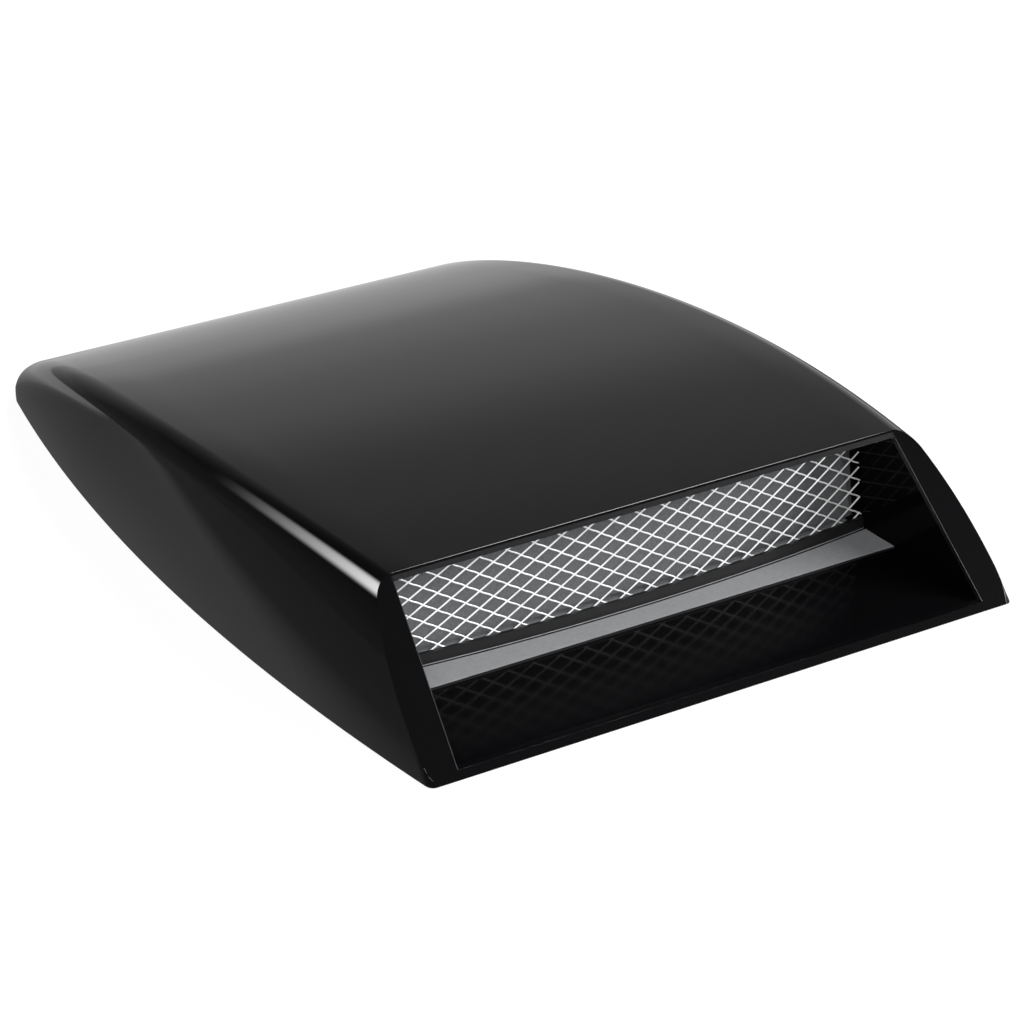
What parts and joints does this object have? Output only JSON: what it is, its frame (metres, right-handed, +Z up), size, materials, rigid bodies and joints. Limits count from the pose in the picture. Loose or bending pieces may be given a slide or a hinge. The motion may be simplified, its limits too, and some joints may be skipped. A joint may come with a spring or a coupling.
{
  "type": "car bonnet vent",
  "caption": "Stick-on bonnet air scoop: gloss black shell with a raked mouth, recessed duct tray, bowed metal mesh and foam tape under the rim.",
  "frame": {"origin": "on the bonnet surface, under the middle of the rim's overall box", "axes": "+X to the vent's right as seen from in front of the mouth, +Y from the mouth to the tail, +Z up off the bonnet"},
  "size_m": [0.294, 0.419, 0.063],
  "materials": {
    "gloss_shell": "high gloss black, moulded and polished",
    "tray_plastic": "gloss black, moulded",
    "bright_mesh": "bright expanded sheet",
    "strip_satin": "satin grey",
    "strip_black": "satin black",
    "screw_steel": "zinc plated",
    "foam_tape": "matt foam"
  },
  "bodies": {
    "root": {"shell": "gloss_shell", "duct_tray": "tray_plastic", "mesh": "bright_mesh", "lower_mesh_strip": "strip_satin", "top_mesh_strip": "strip_black", "tray_screws": "screw_steel", "front_foam_tape": "foam_tape", "left_foam_tape": "foam_tape", "right_foam_tape": "foam_tape", "rear_foam_tape": "foam_tape"}
  },
  "joints": []
}
